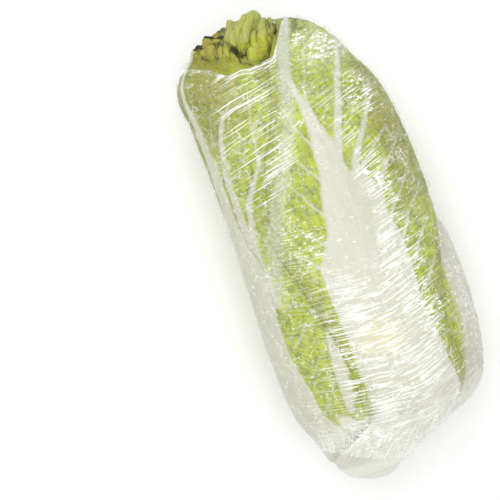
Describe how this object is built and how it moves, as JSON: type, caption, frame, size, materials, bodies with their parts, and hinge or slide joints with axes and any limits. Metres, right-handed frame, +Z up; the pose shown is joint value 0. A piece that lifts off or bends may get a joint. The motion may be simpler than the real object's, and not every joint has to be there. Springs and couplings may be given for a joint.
{
  "type": "wrapped napa cabbage",
  "caption": "Whole napa cabbage lying on its side, wrapped in clear film that leaves the leaf tips and the cut stem bare.",
  "frame": {"origin": "middle of the flat spot that the head rests on, under its thickest part", "axes": "+Y runs along the head from the cut stem to the leaf tips, +Z is up as it lies, +X is across it"},
  "size_m": [0.1447, 0.3152, 0.1232],
  "materials": {
    "leaf": "satin",
    "heart": "matte",
    "stem": "matte",
    "film": "clear gloss"
  },
  "bodies": {
    "root": {"leaf_front": "leaf", "leaf_left": "leaf", "leaf_right": "leaf", "leaf_back": "leaf", "leaf_inner_left": "leaf", "leaf_inner_right": "leaf", "leaf_inner_front": "leaf", "heart": "heart", "stem": "stem", "film": "film"}
  },
  "joints": []
}
